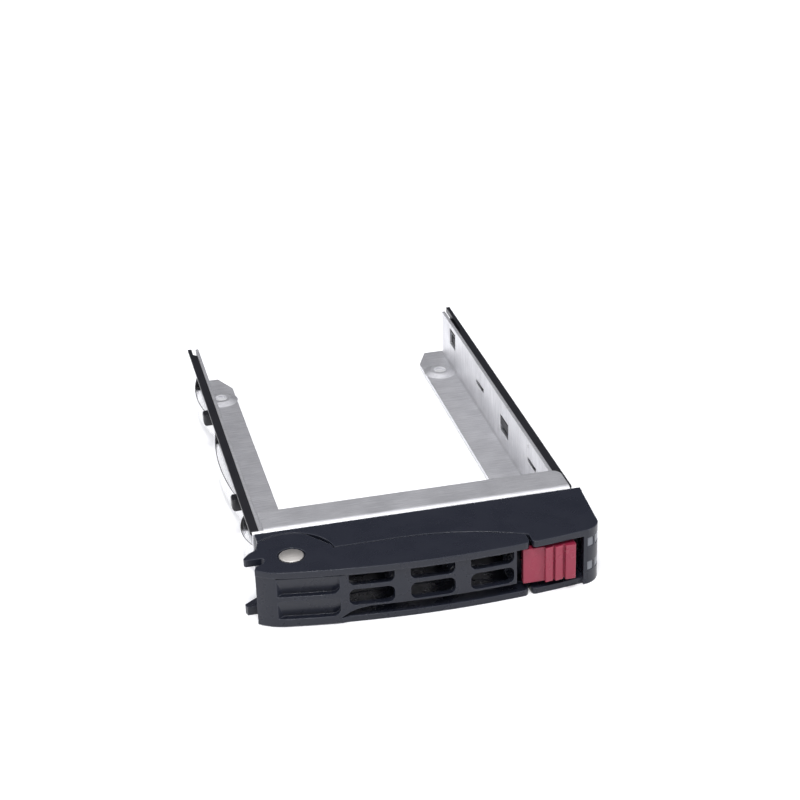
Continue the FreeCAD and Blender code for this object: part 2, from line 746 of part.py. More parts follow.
# slot that guides the button's stem, and clear space for the snap ears
stem_left = button_left + stem_inside_left
stem_right = button_right - stem_inside_right
stem_low = mid_height - stem_tall / 2
stem_high = mid_height + stem_tall / 2
stem_back = panel_back + snap_gap
bezel = bezel.cut(box(stem_left - slot_gap, stem_right + button_travel + slot_gap,
                      bezel_back - panel_depth - 1, panel_back,
                      stem_low - slot_gap, stem_high + slot_gap))
for x in screw_places:
    bezel = bezel.cut(level_bar(screw_thread / 2 + press_gap, x, bezel_back, mid_height,
                                screw_length - sheet + screw_clearance, V(0, -1, 0)))
bezel = bezel.cut(upright(shank / 2 + press_gap, pivot_x, pivot_y, -1, bezel_height + 1))
spring_y = stem_back + spring_box / 2
bezel = bezel.fuse(level_bar(spigot / 2, pillar_left + rib / 2, spring_y, mid_height,
                             spigot_length + rib / 2, V(-1, 0, 0)))


# ============================================================== light pipes
def light_pipe(level, grow, setback):
    """Bar along the right wall, then a head that fills two icon windows."""
    half = pipe_tall / 2 + grow
    half_icon = icon_tall / 2 + grow
    head_front, head_back = head_depth
    left = wall_outer + icon_front[0] - grow
    bar = box(pipe_inner - grow, pipe_outer + grow, bezel_back - head_back,
              right_wall_rear + pipe_past_wall, level - half, level + half)
    to_front = box(left, wall_outer + icon_front[1] + grow, bezel_far,
                   bezel_back - head_front + grow, level - half_icon, level + half_icon)
    to_corner = box(wall_outer + icon_corner[0] - grow, wall_outer + icon_corner[1] + grow,
                    bezel_back - icon_corner_depth[1] - grow,
                    bezel_back - icon_corner_depth[0] + grow,
                    level - half_icon, level + half_icon)
    joint = box(left, wall_outer + icon_corner[0] + pipe_thick / 2 + grow,
                bezel_back - head_back - grow, bezel_back - head_front + grow,
                level - half_icon, level + half_icon)
    heads = fuse([to_front, to_corner, joint]).common(front_blank(setback, 0, bezel_height))
    return fuse([bar, heads])


for name, level in (("lower_light_pipe", pipe_levels[0]), ("upper_light_pipe", pipe_levels[1])):
    bezel = bezel.cut(light_pipe(level, pipe_gap, -pipe_flush))
    save(name, light_pipe(level, 0, pipe_flush), front_drop)
bezel = bezel.removeSplitter()
save("bezel_body", bezel, front_drop)


# ============================================================ ejector_lever
def turned(angle, radius):
    """Point at an angle and radius about the pivot."""
    a = math.radians(angle)
    return (pivot_x + radius * math.cos(a), pivot_y + radius * math.sin(a))


def lever_plate(setback, z0, z1):
    """Upper or lower plate, its boss cut straight toward the housing."""
    plate_blank = front_blank(setback, z0, z1).common(lever_zone(0, 0, z0, z1))
    across = boss_radius
    chord = box(boss_flat, boss_flat + across, -across, across, z0, z1)
    chord.rotate(V(0, 0, 0), V(0, 0, 1), boss_flat_angle)
    chord.translate(V(pivot_x, pivot_y, 0))
    chord = chord.common(box(pivot_x, pivot_x + 2 * across, bezel_back - lever_rear,
                             bezel_back, z0, z1))
    (high_angle, high_radius), (low_angle, low_radius) = boss_side
    flank = prism([turned(high_angle, high_radius), turned(low_angle, low_radius),
                   turned(claw_flank_angle, boss_radius),
                   turned(claw_flank_angle, 2 * boss_radius),
                   turned(high_angle, 2 * boss_radius)], z0, z1)
    plate_blank = plate_blank.cut(chord).cut(flank)
    tip_y = front_y(lever_tip, setback)
    tip = standing_edges(plate_blank,
                         lambda p: abs(p.x - lever_tip) < 0.01 and abs(p.y - tip_y) < 0.01)
    return plate_blank.makeFillet(tip_round, tip)


def claw(z0, z1, tip):
    """Tooth at the lever's left end that hooks behind the cage's edge."""
    tip_x, tip_y = turned(*tip)
    front_line = bezel_back - claw_front
    shape = prism([turned(*boss_side[1]), turned(claw_flank_angle, boss_radius), (tip_x, tip_y),
                   (tip_x + claw_round, front_line),
                   (left_tip_x + notch_inner[0][0], front_line),
                   (pivot_x - lug_radius, pivot_y)], z0, z1)
    corners = standing_edges(shape, lambda p: p.x < tip_x + 0.01)
    return shape.makeFillet(claw_round, corners)


# plates, front wall and its thicker part behind the grip
shell = front_blank(face_recess, 0.2, inside_high + 0.2)
grip_shell = front_blank(grip_recess, 0.2, inside_high + 0.2)
wall_rear_y = bezel_back - lever_wall_depth
face = shell.cut(front_blank(face_recess + face_wall, 0, bezel_height))
face = face.common(box(left_tip_x - 1, vent_end, bezel_far, wall_rear_y, 0, bezel_height))
grip = grip_shell.cut(front_blank(grip_recess + grip_wall, 0, bezel_height))
slope_start = pad_right + grip_recess
slope_end = vent_start + grip_recess
grip = grip.common(prism([
    (left_tip_x - 1, bezel_far), (slope_start, bezel_far),
    (slope_start, front_y(slope_start, grip_recess)),
    (slope_end, front_y(slope_end, face_recess)),
    (slope_end, wall_rear_y), (left_tip_x - 1, wall_rear_y)], 0, bezel_height))
grip = grip.cut(upright(lug_radius + seam_gap, pivot_x, pivot_y, -1, bezel_height + 1))
left_cheek = grip_shell.common(box(left_tip_x - 1, left_tip_x + end_wall, bezel_far,
                                   wall_rear_y, 0, bezel_height))
end_web = shell.common(box(vent_end - end_wall, vent_end, bezel_far,
                           bezel_back - barb_depth + barb_thick,
                           inside_low + seam_gap, inside_high - seam_gap))
barb = box(vent_end - end_wall, vent_end + barb_reach, bezel_back - barb_depth,
           bezel_back - barb_depth + barb_thick,
           mid_height - hook_tall / 2, mid_height + hook_tall / 2)
solids = [lever_plate(0, inside_high, bezel_height), lever_plate(low_recess, 0, inside_low),
          face, grip, left_cheek, end_web, barb]
for x0 in vent_lefts[1:]:
    middle = x0 - vent_land / 2
    solids.append(shell.common(box(middle - rib / 2, middle + rib / 2, bezel_far,
                                   bezel_back - lever_rib_depth, 0, bezel_height)))
lever = fuse(solids)
notch = [(left_tip_x - big, bezel_back - notch_inner[0][1])]
notch += [(left_tip_x + across, bezel_back - depth) for across, depth in notch_inner]
notch += [(left_tip_x, bezel_back - left_end[1] - 0.01),
          (left_tip_x - big, bezel_back - left_end[1] - 0.01)]
lever = lever.cut(prism(notch, -1, bezel_height + 1))
lever = fuse([lever, claw(bezel_height - upper_claw_thick, bezel_height, claw_upper_tip),
              claw(0, lower_claw_thick, claw_lower_tip)])
# vents: the upper row flat on top, the lower row rounded all over
vent_back = bezel_back - lever_rib_depth + 0.5
for x0 in vent_lefts:
    x1 = x0 + vent_width
    lever = lever.cut(rounded_slot(x0, x1, bezel_height - vent_upper[0],
                                   bezel_height - vent_upper[1], bezel_far, vent_back,
                                   vent_round, False))
    lever = lever.cut(rounded_slot(x0, x1, vent_lower[0], bezel_height - vent_lower[1],
                                   bezel_far, vent_back, vent_round, True))
# finger scoop under the vents, rising from the grip
scoop_points = [(vent_start + across, scoop_low + share * (scoop_high - scoop_low))
                for across, share in scoop_rise]
scoop_points += [(lever_tip + 1, scoop_high), (lever_tip + 1, scoop_low), scoop_points[0]]
scoop_face = Part.Face(Part.makePolygon([V(x, bezel_far, z) for x, z in scoop_points]))
scoop = scoop_face.extrude(V(0, wall_rear_y - bezel_far, 0))
scoop = scoop.cut(box(left_tip_x, bezel_right, bezel_far, bezel_back, 0, inside_low))
lever = lever.cut(scoop)
# two grip pads that sink toward a ledge at their lower edge
pad_left_y = front_y(pad_left, grip_recess)
pad_slope = math.degrees(math.atan2(front_y(pad_right, grip_recess) - pad_left_y, pad_long))
for low in (pad_low, pad_low + pad_pitch):
    high = low + pad_tall
    side_view = Part.makePolygon([V(0, -1, high), V(0, 0, high), V(0, pad_depth, low),
                                  V(0, -1, low), V(0, -1, high)])
    wedge = Part.Face(side_view).extrude(V(pad_long, 0, 0))
    lead_in = prism([(0, 0), (pad_lead, pad_depth), (pad_long, pad_depth),
                     (pad_long, -1), (0, -1)], low, high)
    outline = rounded_slot(-pad_round, pad_long, low, high + pad_round, -2, 2, pad_round, False)
    tool = wedge.common(lead_in).common(outline)
    tool.rotate(V(0, 0, 0), V(0, 0, 1), pad_slope)
    tool.translate(V(pad_left, pad_left_y, 0))
    lever = lever.cut(tool)
# fine groove that sets the grip off from the top lip
groove = front_blank(-1, inside_high - grip_groove, inside_high)
groove = groove.cut(front_blank(grip_recess + grip_groove, 0, bezel_height))
lever = lever.cut(groove.common(box(pad_left, slope_end, bezel_far, bezel_back,
                                    0, bezel_height)))
# pivot bores, head recess and washer recess
lever = lever.cut(upright(shank / 2 + running_gap, pivot_x, pivot_y, -1, bezel_height + 1))
lever = lever.cut(upright(head_recess / 2, pivot_x, pivot_y, bezel_height - head_seat,
                          bezel_height + 1))
washer_low = head_seat / 2
lever = lever.cut(upright(head_recess / 2, pivot_x, pivot_y, -1, washer_low + washer_thick))
lever = lever.removeSplitter()
save("ejector_lever", lever, front_drop)


# ============================================================ pivot rivet
head_low = bezel_height - head_seat + running_gap
head_top = head_low + head_thick
dome_radius = ((head_diameter / 2) ** 2 + head_dome ** 2) / (2 * head_dome)
head = upright(head_diameter / 2, pivot_x, pivot_y, head_low, head_top)
head = head.common(Part.makeSphere(dome_radius, V(pivot_x, pivot_y, head_top - dome_radius)))
tail_radius = shank / 2 - tail_neck
washer_top = washer_low + washer_thick - running_gap
rivet = fuse([upright(shank / 2, pivot_x, pivot_y, washer_top + running_gap, head_low), head,
              upright(tail_radius, pivot_x, pivot_y, washer_low / 2, washer_top + running_gap)])
save("pivot_rivet", rivet, front_drop)
washer = upright(washer_outside / 2, pivot_x, pivot_y, washer_low, washer_top)
washer = washer.cut(upright(tail_radius + press_gap, pivot_x, pivot_y, 0, washer_top + 1))
save("rivet_washer", washer, front_drop)


# ============================================================ lever spring
torsion = coil(torsion_mean, torsion_wire, torsion_pitch, torsion_turns, lever_leg,
               neck_step - torsion_gap)
torsion.translate(V(pivot_x, pivot_y, lug_low + torsion_wire / 2))
save("lever_spring", torsion, front_drop)


# ============================================================ release button
face_y = bezel_back - button_face
solids = [box(button_left, button_right, face_y, face_y + button_thick,
              button_low, button_high)]
falls = (ridge_fall, ridge_fall, 0)
for start, end, fall in zip(ridge_starts, ridge_ends, falls):
    x0 = button_left + start
    x1 = button_left + end
    crest = face_y - ridge_proud
    ridge = prism([(x0, face_y + ridge_round), (x0, crest), (x1, crest + fall),
                   (x1, face_y + ridge_round)], button_low, button_high)
    solids.append(ridge.makeFillet(ridge_round, standing_edges(ridge, lambda p: p.y < face_y)))
solids.append(box(stem_left, stem_right, face_y + button_thick / 2, stem_back + spring_box,
                  stem_low, stem_high))
solids.append(box(stem_left, stem_right, stem_back, stem_back + snap_thick,
                  stem_low - snap_ear, stem_high + snap_ear))
button = fuse(solids)
button = button.cut(level_bar(spring_outside / 2 + spring_bore_gap, stem_right, spring_y,
                              mid_height, spring_bore_depth, V(-1, 0, 0)))
save("release_button", button, front_drop)


# ============================================================ button spring
spring_start = stem_right - spring_bore_depth + snap_gap
spring_end = pillar_left - strip_gap
spring_tall = spring_end - spring_start - spring_wire
spring_mean = spring_outside / 2 - spring_wire / 2
spring = coil(spring_mean, spring_wire, spring_tall / spring_turns, spring_turns, 0, 0)
spring.rotate(V(0, 0, 0), V(0, 1, 0), 90)
spring.translate(V(spring_start + spring_wire / 2, spring_y, mid_height))
save("button_spring", spring, front_drop)


# ============================================================ bezel screws
for name, x in zip(("left", "middle", "right"), screw_places):
    screw = fuse([
        level_bar(screw_thread / 2, x, web_back, mid_height, screw_length, V(0, -1, 0)),
        level_bar(screw_head / 2, x, web_back, mid_height, screw_head_thick, V(0, 1, 0)),
    ])
    save("bezel_screw_" + name, screw, front_drop)
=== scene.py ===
import math

import bpy
import numpy as np
from mathutils import Matrix, Vector


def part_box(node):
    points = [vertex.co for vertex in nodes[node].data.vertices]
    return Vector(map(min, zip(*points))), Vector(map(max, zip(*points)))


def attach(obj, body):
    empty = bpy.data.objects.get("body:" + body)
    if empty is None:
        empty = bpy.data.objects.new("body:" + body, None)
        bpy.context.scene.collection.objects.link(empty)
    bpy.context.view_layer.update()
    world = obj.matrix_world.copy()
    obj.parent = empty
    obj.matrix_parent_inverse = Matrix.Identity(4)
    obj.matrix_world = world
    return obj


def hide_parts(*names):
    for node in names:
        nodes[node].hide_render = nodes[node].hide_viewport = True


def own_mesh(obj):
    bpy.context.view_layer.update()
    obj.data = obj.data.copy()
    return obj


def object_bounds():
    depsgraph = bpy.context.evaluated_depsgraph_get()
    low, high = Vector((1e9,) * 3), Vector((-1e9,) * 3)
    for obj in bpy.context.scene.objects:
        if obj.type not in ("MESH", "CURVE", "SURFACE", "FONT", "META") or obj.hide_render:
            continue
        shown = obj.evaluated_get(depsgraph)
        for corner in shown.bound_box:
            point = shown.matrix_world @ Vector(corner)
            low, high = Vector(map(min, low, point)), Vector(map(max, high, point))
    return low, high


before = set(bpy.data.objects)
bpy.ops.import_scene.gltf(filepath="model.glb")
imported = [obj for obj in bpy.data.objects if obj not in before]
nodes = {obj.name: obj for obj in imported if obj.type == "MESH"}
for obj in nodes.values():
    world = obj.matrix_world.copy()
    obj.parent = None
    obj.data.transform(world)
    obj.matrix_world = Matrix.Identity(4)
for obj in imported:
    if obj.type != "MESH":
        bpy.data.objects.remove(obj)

cad_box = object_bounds()

# ------------------------------------------------------------------ the tray
# One pressing of 0.8 mm zinc-plated steel.  The mill rolls it with fine lines
# across the front, and its edges and bends are rubbed a little brighter.


def new_group(name, inputs, outputs):
    """An empty shader group with float or colour sockets, and its two end nodes."""
    tree = bpy.data.node_groups.new(name, "ShaderNodeTree")
    for label, kind, value in inputs:
        socket = tree.interface.new_socket(label, in_out="INPUT", socket_type="NodeSocket" + kind)
        socket.default_value = value
    for label, kind in outputs:
        tree.interface.new_socket(label, in_out="OUTPUT", socket_type="NodeSocket" + kind)
    return tree, tree.nodes.new("NodeGroupInput"), tree.nodes.new("NodeGroupOutput")


def add(tree, kind, values=None, **settings):
    """A node of that kind, with its settings and its unlinked inputs."""
    node = tree.nodes.new("ShaderNode" + kind)
    for key, value in settings.items():
        setattr(node, key, value)
    for key, value in (values or {}).items():
        if isinstance(value, bpy.types.NodeSocket):
            tree.links.new(value, node.inputs[key])
        else:
            node.inputs[key].default_value = value
    return node


def math_node(tree, operation, a, b=0.0, clamp=False):
    """One step of arithmetic; a and b are numbers or sockets."""
    return add(tree, "Math", {0: a, 1: b}, operation=operation, use_clamp=clamp).outputs[0]


def mix_colour(tree, factor, a, b):
    """Colour a where factor is 0 and colour b where it is 1."""
    node = add(tree, "Mix", {"Factor": factor}, data_type="RGBA")
    for slot, value in ((6, a), (7, b)):
        if isinstance(value, bpy.types.NodeSocket):
            tree.links.new(value, node.inputs[slot])
        else:
            node.inputs[slot].default_value = value
    return node.outputs[2]


def ramp(tree, value, low, high):
    """0 below low, 1 above high, straight between."""
    return add(tree, "MapRange", {"Value": value, "From Min": low, "From Max": high}).outputs[0]


def soft_edge_group():
    """Normals turned over a small radius at the edges, and a mask of where that is.

    Normal is the mean direction of the surface inside Radius; Edge is
    one minus its dot product with the face's own direction, times five.
    """
    tree, given, out = new_group("soft_edge", [("Radius", "Float", 0.0003)],
                                 [("Normal", "Vector"), ("Edge", "Float")])
    bevel = add(tree, "Bevel", {"Radius": given.outputs["Radius"]}, samples=6)
    own = add(tree, "NewGeometry")
    same = add(tree, "VectorMath", {0: bevel.outputs[0], 1: own.outputs["Normal"]},
               operation="DOT_PRODUCT")
    apart = math_node(tree, "SUBTRACT", 1.0, same.outputs["Value"])
    tree.links.new(bevel.outputs[0], out.inputs["Normal"])
    tree.links.new(math_node(tree, "MULTIPLY", apart, 5.0, clamp=True), out.inputs["Edge"])
    return tree


def rolled_grain_group():
    """Fine parallel lines of the rolling mill, and slow clouds of uneven plating.

    Lines is noise squeezed to a thread along X, or along Z on the walls, which
    were flat when the sheet was rolled.  Clouds is slow noise.  Scratches is a
    few long threads at a slant, where noise passes a high level.
    """
    tree, given, out = new_group("rolled_grain", [("Fineness", "Float", 9000.0)],
                                 [("Lines", "Float"), ("Clouds", "Float"), ("Scratches", "Float")])
    place = add(tree, "TexCoord").outputs["Object"]
    facing = add(tree, "SeparateXYZ", {0: add(tree, "NewGeometry").outputs["Normal"]})
    on_wall = ramp(tree, math_node(tree, "ABSOLUTE", facing.outputs["X"]), 0.5, 0.8)
    flat = add(tree, "Mapping", {"Vector": place, "Scale": (0.02, 1.0, 1.0)})
    wall = add(tree, "Mapping", {"Vector": place, "Scale": (1.0, 1.0, 0.02)})
    lines = [add(tree, "TexNoise", {"Vector": way.outputs[0], "Scale": given.outputs["Fineness"],
                                    "Detail": 3.0, "Roughness": 0.7}).outputs["Fac"]
             for way in (flat, wall)]
    chosen = add(tree, "Mix", {"Factor": on_wall, 2: lines[0], 3: lines[1]}, data_type="FLOAT")
    clouds = add(tree, "TexNoise", {"Vector": place, "Scale": 120.0, "Detail": 4.0, "Roughness": 0.55})
    crossed = add(tree, "Mapping", {"Vector": place, "Rotation": (0.0, 0.0, 0.6),
                                    "Scale": (0.05, 1.0, 1.0)})
    scratch = add(tree, "TexNoise", {"Vector": crossed.outputs[0], "Scale": 2600.0, "Detail": 1.0})
    tree.links.new(chosen.outputs[0], out.inputs["Lines"])
    tree.links.new(clouds.outputs["Fac"], out.inputs["Clouds"])
    tree.links.new(ramp(tree, scratch.outputs["Fac"], 0.70, 0.74), out.inputs["Scratches"])
    return tree


soft_edge = soft_edge_group()
rolled_grain = rolled_grain_group()


def use(tree, group, values):
    """The group placed in a material with its own values."""
    node = tree.nodes.new("ShaderNodeGroup")
    node.node_tree = group
    for key, value in values.items():
        node.inputs[key].default_value = value
    return node


def blank_material(name):
    """A material with its tree and its Principled shader."""
    material = bpy.data.materials.new(name)
    material.use_nodes = True
    return material, material.node_tree, material.node_tree.nodes["Principled BSDF"]


def sheet_metal(name, dark, light, roughness, grain, edge_radius, fineness=9000.0):
    """Metal whose grain shows in its tone, gloss and surface."""
    material, tree, shader = blank_material(name)
    lines = use(tree, rolled_grain, {"Fineness": fineness})
    edge = use(tree, soft_edge, {"Radius": edge_radius})
    slow = math_node(tree, "MULTIPLY", lines.outputs["Clouds"], 0.4)
    blend = ramp(tree, math_node(tree, "ADD", lines.outputs["Lines"], slow), 0.5, 0.9)
    tone = mix_colour(tree, blend, dark, light)
    worn = math_node(tree, "MULTIPLY", lines.outputs["Scratches"], 0.18)
    tone = mix_colour(tree, worn, tone, (0.9, 0.9, 0.9, 1))
    rubbed = math_node(tree, "MULTIPLY", edge.outputs["Edge"], 0.6)
    tone = mix_colour(tree, rubbed, tone, (0.93, 0.93, 0.92, 1))
    uneven = math_node(tree, "MULTIPLY", lines.outputs["Lines"], 0.16)
    gloss = math_node(tree, "ADD", uneven, roughness - 0.08)
    bump = add(tree, "Bump", {"Height": lines.outputs["Lines"], "Normal": edge.outputs["Normal"],
                              "Strength": grain, "Distance": 0.00003})
    tree.links.new(tone, shader.inputs["Base Color"])
    tree.links.new(gloss, shader.inputs["Roughness"])
    tree.links.new(bump.outputs[0], shader.inputs["Normal"])
    shader.inputs["Metallic"].default_value = 1.0
    return material


def finish_node(name, material):
    """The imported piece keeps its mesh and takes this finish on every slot."""
    mesh = nodes[name].data
    if not mesh.materials:
        mesh.materials.append(material)
    for k in range(len(mesh.materials)):
        mesh.materials[k] = material


zinc_steel = sheet_metal("zinc_plated_steel", (0.58, 0.58, 0.60, 1), (0.90, 0.90, 0.92, 1),
                         0.50, 0.6, 0.00030)
finish_node("tray_frame", zinc_steel)

# ---------------------------------------------------------- the guide strips
# Two black nylon rails that snap into the windows of the side walls and run
# along the cage's grooves.  The mould leaves them a fine even texture.


def mould_texture_group():
    """Spark-eroded mould texture: fine cells for height, slow noise for gloss, and specks of dust."""
    tree, given, out = new_group("mould_texture", [("Scale", "Float", 5000.0)],
                                 [("Height", "Float"), ("Sheen", "Float"), ("Dust", "Float")])
    place = add(tree, "TexCoord").outputs["Object"]
    fine = add(tree, "TexNoise", {"Vector": place, "Scale": given.outputs["Scale"], "Detail": 2.0,
                                  "Roughness": 0.6})
    slow = add(tree, "TexNoise", {"Vector": place, "Scale": 160.0, "Detail": 5.0, "Roughness": 0.6})
    speck = add(tree, "TexVoronoi", {"Vector": place, "Scale": 1500.0, "Randomness": 1.0})
    near = math_node(tree, "LESS_THAN", speck.outputs["Distance"], 0.10)
    rare = add(tree, "TexNoise", {"Vector": place, "Scale": 900.0})
    few = ramp(tree, rare.outputs["Fac"], 0.62, 0.68)
    tree.links.new(fine.outputs["Fac"], out.inputs["Height"])
    tree.links.new(slow.outputs["Fac"], out.inputs["Sheen"])
    tree.links.new(math_node(tree, "MULTIPLY", near, few), out.inputs["Dust"])
    return tree


mould_texture = mould_texture_group()
mould_cells = 5000.0


def moulded_plastic(name, colour, worn, roughness, grain, edge_radius, dust=0.0, specular=0.5):
    """Plastic with its mould's texture, uneven gloss and lighter rubbed edges."""
    material, tree, shader = blank_material(name)
    skin = use(tree, mould_texture, {"Scale": mould_cells})
    edge = use(tree, soft_edge, {"Radius": edge_radius})
    rub = math_node(tree, "MULTIPLY", edge.outputs["Edge"], skin.outputs["Sheen"])
    tone = mix_colour(tree, rub, colour, worn)
    uneven = ramp(tree, skin.outputs["Sheen"], 0.3, 0.7)
    shade = tuple(c * 1.25 for c in colour[:3]) + (1,)
    tone = mix_colour(tree, math_node(tree, "MULTIPLY", uneven, 0.35), tone, shade)
    dusty = math_node(tree, "MULTIPLY", skin.outputs["Dust"], dust)
    tone = mix_colour(tree, dusty, tone, (0.3, 0.3, 0.3, 1))
    gloss = math_node(tree, "MULTIPLY", skin.outputs["Sheen"], 0.22)
    gloss = math_node(tree, "ADD", gloss, roughness - 0.11)
    bump = add(tree, "Bump", {"Height": skin.outputs["Height"], "Normal": edge.outputs["Normal"],
                              "Strength": grain, "Distance": 0.00002})
    tree.links.new(tone, shader.inputs["Base Color"])
    tree.links.new(gloss, shader.inputs["Roughness"])
    tree.links.new(bump.outputs[0], shader.inputs["Normal"])
    shader.inputs["Specular IOR Level"].default_value = specular
    return material


black_nylon = moulded_plastic("black_nylon", (0.009, 0.009, 0.012, 1), (0.08, 0.08, 0.09, 1),
                              0.34, 0.2, 0.00025)
for name in ("left_guide_strip", "right_guide_strip"):
    finish_node(name, black_nylon)

# --------------------------------------------------------- the left-side spring
# A leaf of bright stainless strip behind the left rail.  It bows outward in
# three waves, grounds the tray to the cage, and takes up the side play.

spring_leaf = sheet_metal("stainless_leaf", (0.62, 0.62, 0.63, 1), (0.86, 0.86, 0.86, 1),
                          0.22, 0.2, 0.0001, fineness=14000.0)
finish_node("left_side_spring", spring_leaf)

# -------------------------------------------------------- the fixed front housing
# Black ABS, moulded in one, screwed to the web of the tray by three small
# screws.  Its faces have a fine satin texture.

black_abs = moulded_plastic("black_abs", (0.013, 0.015, 0.024, 1), (0.09, 0.10, 0.13, 1),
                            0.28, 0.15, 0.00035, specular=0.38)
finish_node("bezel_body", black_abs)

# ------------------------------------------------------------ the light pipes
# Two bars of frosted clear plastic carry light from the drive cage to the small
# windows in the housing's right corner.  Unlit, their ends look pale grey.

frosted = moulded_plastic("frosted_clear", (0.16, 0.17, 0.19, 1), (0.5, 0.5, 0.52, 1),
                          0.35, 0.3, 0.0001, dust=0.1)
for name in ("lower_light_pipe", "upper_light_pipe"):
    finish_node(name, frosted)

# ------------------------------------------------------------- the housing screws
# Three M2 pan-head screws of plated steel with a cross recess, driven from
# behind the web into the housing's bosses.


MM = 0.001


def closed_tube(name, rings):
    """Mesh of a surface given as rings of points: round each ring and along the rows.

    Each cell between two rings and two neighbouring points is one face, the
    last point of a ring meets its first, and one face closes each end.
    """
    rings = rings[:, ::-1]
    rows, columns = rings.shape[:2]
    u, v = np.meshgrid(np.arange(rows - 1), np.arange(columns), indexing="ij")
    v_next = (v + 1) % columns
    cells = np.stack([u * columns + v, u * columns + v_next, (u + 1) * columns + v_next,
                      (u + 1) * columns + v], axis=-1).reshape(-1, 4)
    first_end = list(range(columns))[::-1]
    last_end = list(range((rows - 1) * columns, rows * columns))
    mesh = bpy.data.meshes.new(name)
    mesh.from_pydata(rings.reshape(-1, 3).tolist(), [], cells.tolist() + [first_end, last_end])
    mesh.update()
    return mesh


def piece(name, mesh, material, body, slot, *stands_for):
    """Puts a finished mesh in the scene, on its body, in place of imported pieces."""
    mesh.polygons.foreach_set("use_smooth", np.ones(len(mesh.polygons), bool))
    mesh.materials.append(material)
    item = bpy.data.objects.new(name, mesh)
    bpy.context.scene.collection.objects.link(item)
    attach(item, body)
    if stands_for:
        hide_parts(*stands_for)
    return item


def screw_surface(low, high):
    """Revolved screw along Y whose radius and depth follow two formulas.

    Shank: radius = core + ridge * triangle wave of (turns along Y minus angle),
    faded out at both ends.  Head: a flat underside out to the rim, then a low
    dome, whose height drops by the recess depth inside two crossed bars.
    """
    cx, cz = (low.x + high.x) / 2, (low.z + high.z) / 2
    head_r, shank_r, core_r = (high.x - low.x) / 2, 1.0 * MM, 0.8 * MM
    head_height, pitch = 1.2 * MM, 0.4 * MM
    tip, seat = low.y, high.y - head_height
    angles = np.linspace(0, 2 * math.pi, 48, endpoint=False)
    a, t = np.meshgrid(angles, np.linspace(0, 1, 90))
    y = tip + (seat - tip) * t
    wave = np.abs((((y - tip) / pitch - a / (2 * math.pi)) % 1.0) * 2 - 1)
    fade = np.clip(np.minimum(t / 0.08, (1 - t) / 0.06), 0, 1)
    r = shank_r * (0.80 + 0.18 * wave * fade)
    shank = np.stack([cx + r * np.cos(a), y, cz + r * np.sin(a)], -1)

    a, s = np.meshgrid(angles, np.linspace(0, 1, 60))
    under = 0.22
    r = np.where(s < under, core_r + (head_r - core_r) * (s / under),
                 head_r * (1 - (s - under) / (1 - under)))
    rim_height, dome_rise, recess_depth = 0.45 * MM, 0.75 * MM, 0.7 * MM
    dome = rim_height + dome_rise * np.sqrt(np.clip(1 - (r / head_r) ** 2.6, 0, 1))
    ax, az = r * np.cos(a), r * np.sin(a)
    arm_half, arm_reach = 0.20 * MM, 1.05 * MM
    near, far = np.minimum(np.abs(ax), np.abs(az)), np.maximum(np.abs(ax), np.abs(az))
    cross = (np.clip((arm_half - near) / (0.08 * MM), 0, 1)
             * np.clip((arm_reach - far) / (0.25 * MM), 0, 1))
    height = np.where(s < under, 0.0, dome - recess_depth * cross)
    head = np.stack([cx + ax, seat + height, cz + az], -1)
    return np.concatenate([shank, head], 0)


screw_steel = sheet_metal("screw_steel", (0.42, 0.42, 0.43, 1), (0.70, 0.70, 0.70, 1), 0.28, 0.2, 0.0001)
for place in ("left", "middle", "right"):
    packed = "bezel_screw_" + place
    low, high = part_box(packed)
    mesh = closed_tube(packed + "_threaded", screw_surface(low, high))
    piece(packed + "_threaded", mesh, screw_steel, "caddy", "screw_steel", packed)

# --------------------------------------------------------------- the ejector lever
# Black ABS like the housing.  It turns on the rivet at its left end, its claws
# lever the caddy out of the cage, and its vented face is the caddy's handle.

finish_node("ejector_lever", black_abs)

# --------------------------------------------------------------- the lever's spring
# A torsion spring of round steel wire, coiled about the pivot between the lever
# and the housing, with two straight legs.  It throws the lever open.


def swept_wire(path, radius, sides=12):
    """Round wire along a path: circles in the planes across its direction.

    The first circle's arm is the path's direction crossed with a fixed slant.
    Each next arm is the last one less the part of it that lies along the path.
    """
    along = np.gradient(path, axis=0)
    along /= np.linalg.norm(along, axis=1, keepdims=True)
    arm = np.zeros_like(path)
    arm[0] = np.cross(along[0], (0.3, 0.5, 0.81))
    arm[0] /= np.linalg.norm(arm[0])
    for k in range(1, len(path)):
        arm[k] = arm[k - 1] - along[k] * (arm[k - 1] @ along[k])
        arm[k] /= np.linalg.norm(arm[k])
    other = np.cross(along, arm)
    a = np.linspace(0, 2 * math.pi, sides, endpoint=False)
    return (path[:, None, :] + radius * (np.cos(a)[None, :, None] * arm[:, None, :]
                                         + np.sin(a)[None, :, None] * other[:, None, :]))


spring_wire_steel = sheet_metal("spring_wire", (0.40, 0.39, 0.38, 1), (0.66, 0.65, 0.63, 1),
                                0.25, 0.1, 0.00005)
low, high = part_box("lever_spring")
rivet_low, rivet_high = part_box("pivot_rivet")
wire_r, mean_r = 0.3 * MM, 3.3 * MM
centre_x, centre_y = high.x - wire_r - mean_r, (rivet_low.y + rivet_high.y) / 2
turns, coil_steps, leg_steps = 3.0, 260, 12
angle = np.linspace(0, 2 * math.pi * turns, coil_steps)
rise = np.linspace(low.z + wire_r, high.z - wire_r, coil_steps)
helix = np.stack([centre_x + mean_r * np.cos(angle), centre_y + mean_r * np.sin(angle), rise], -1)
share = np.linspace(0, 1, leg_steps, endpoint=False)[:, None]
start = helix[0] + np.array([0.0, low.y - helix[0][1], 0.0])
stop = helix[-1] + np.array([0.0, high.y - helix[-1][1], 0.0])
path = np.concatenate([start + (helix[0] - start) * share, helix,
                       stop + (helix[-1] - stop) * (1 - share[::-1])])
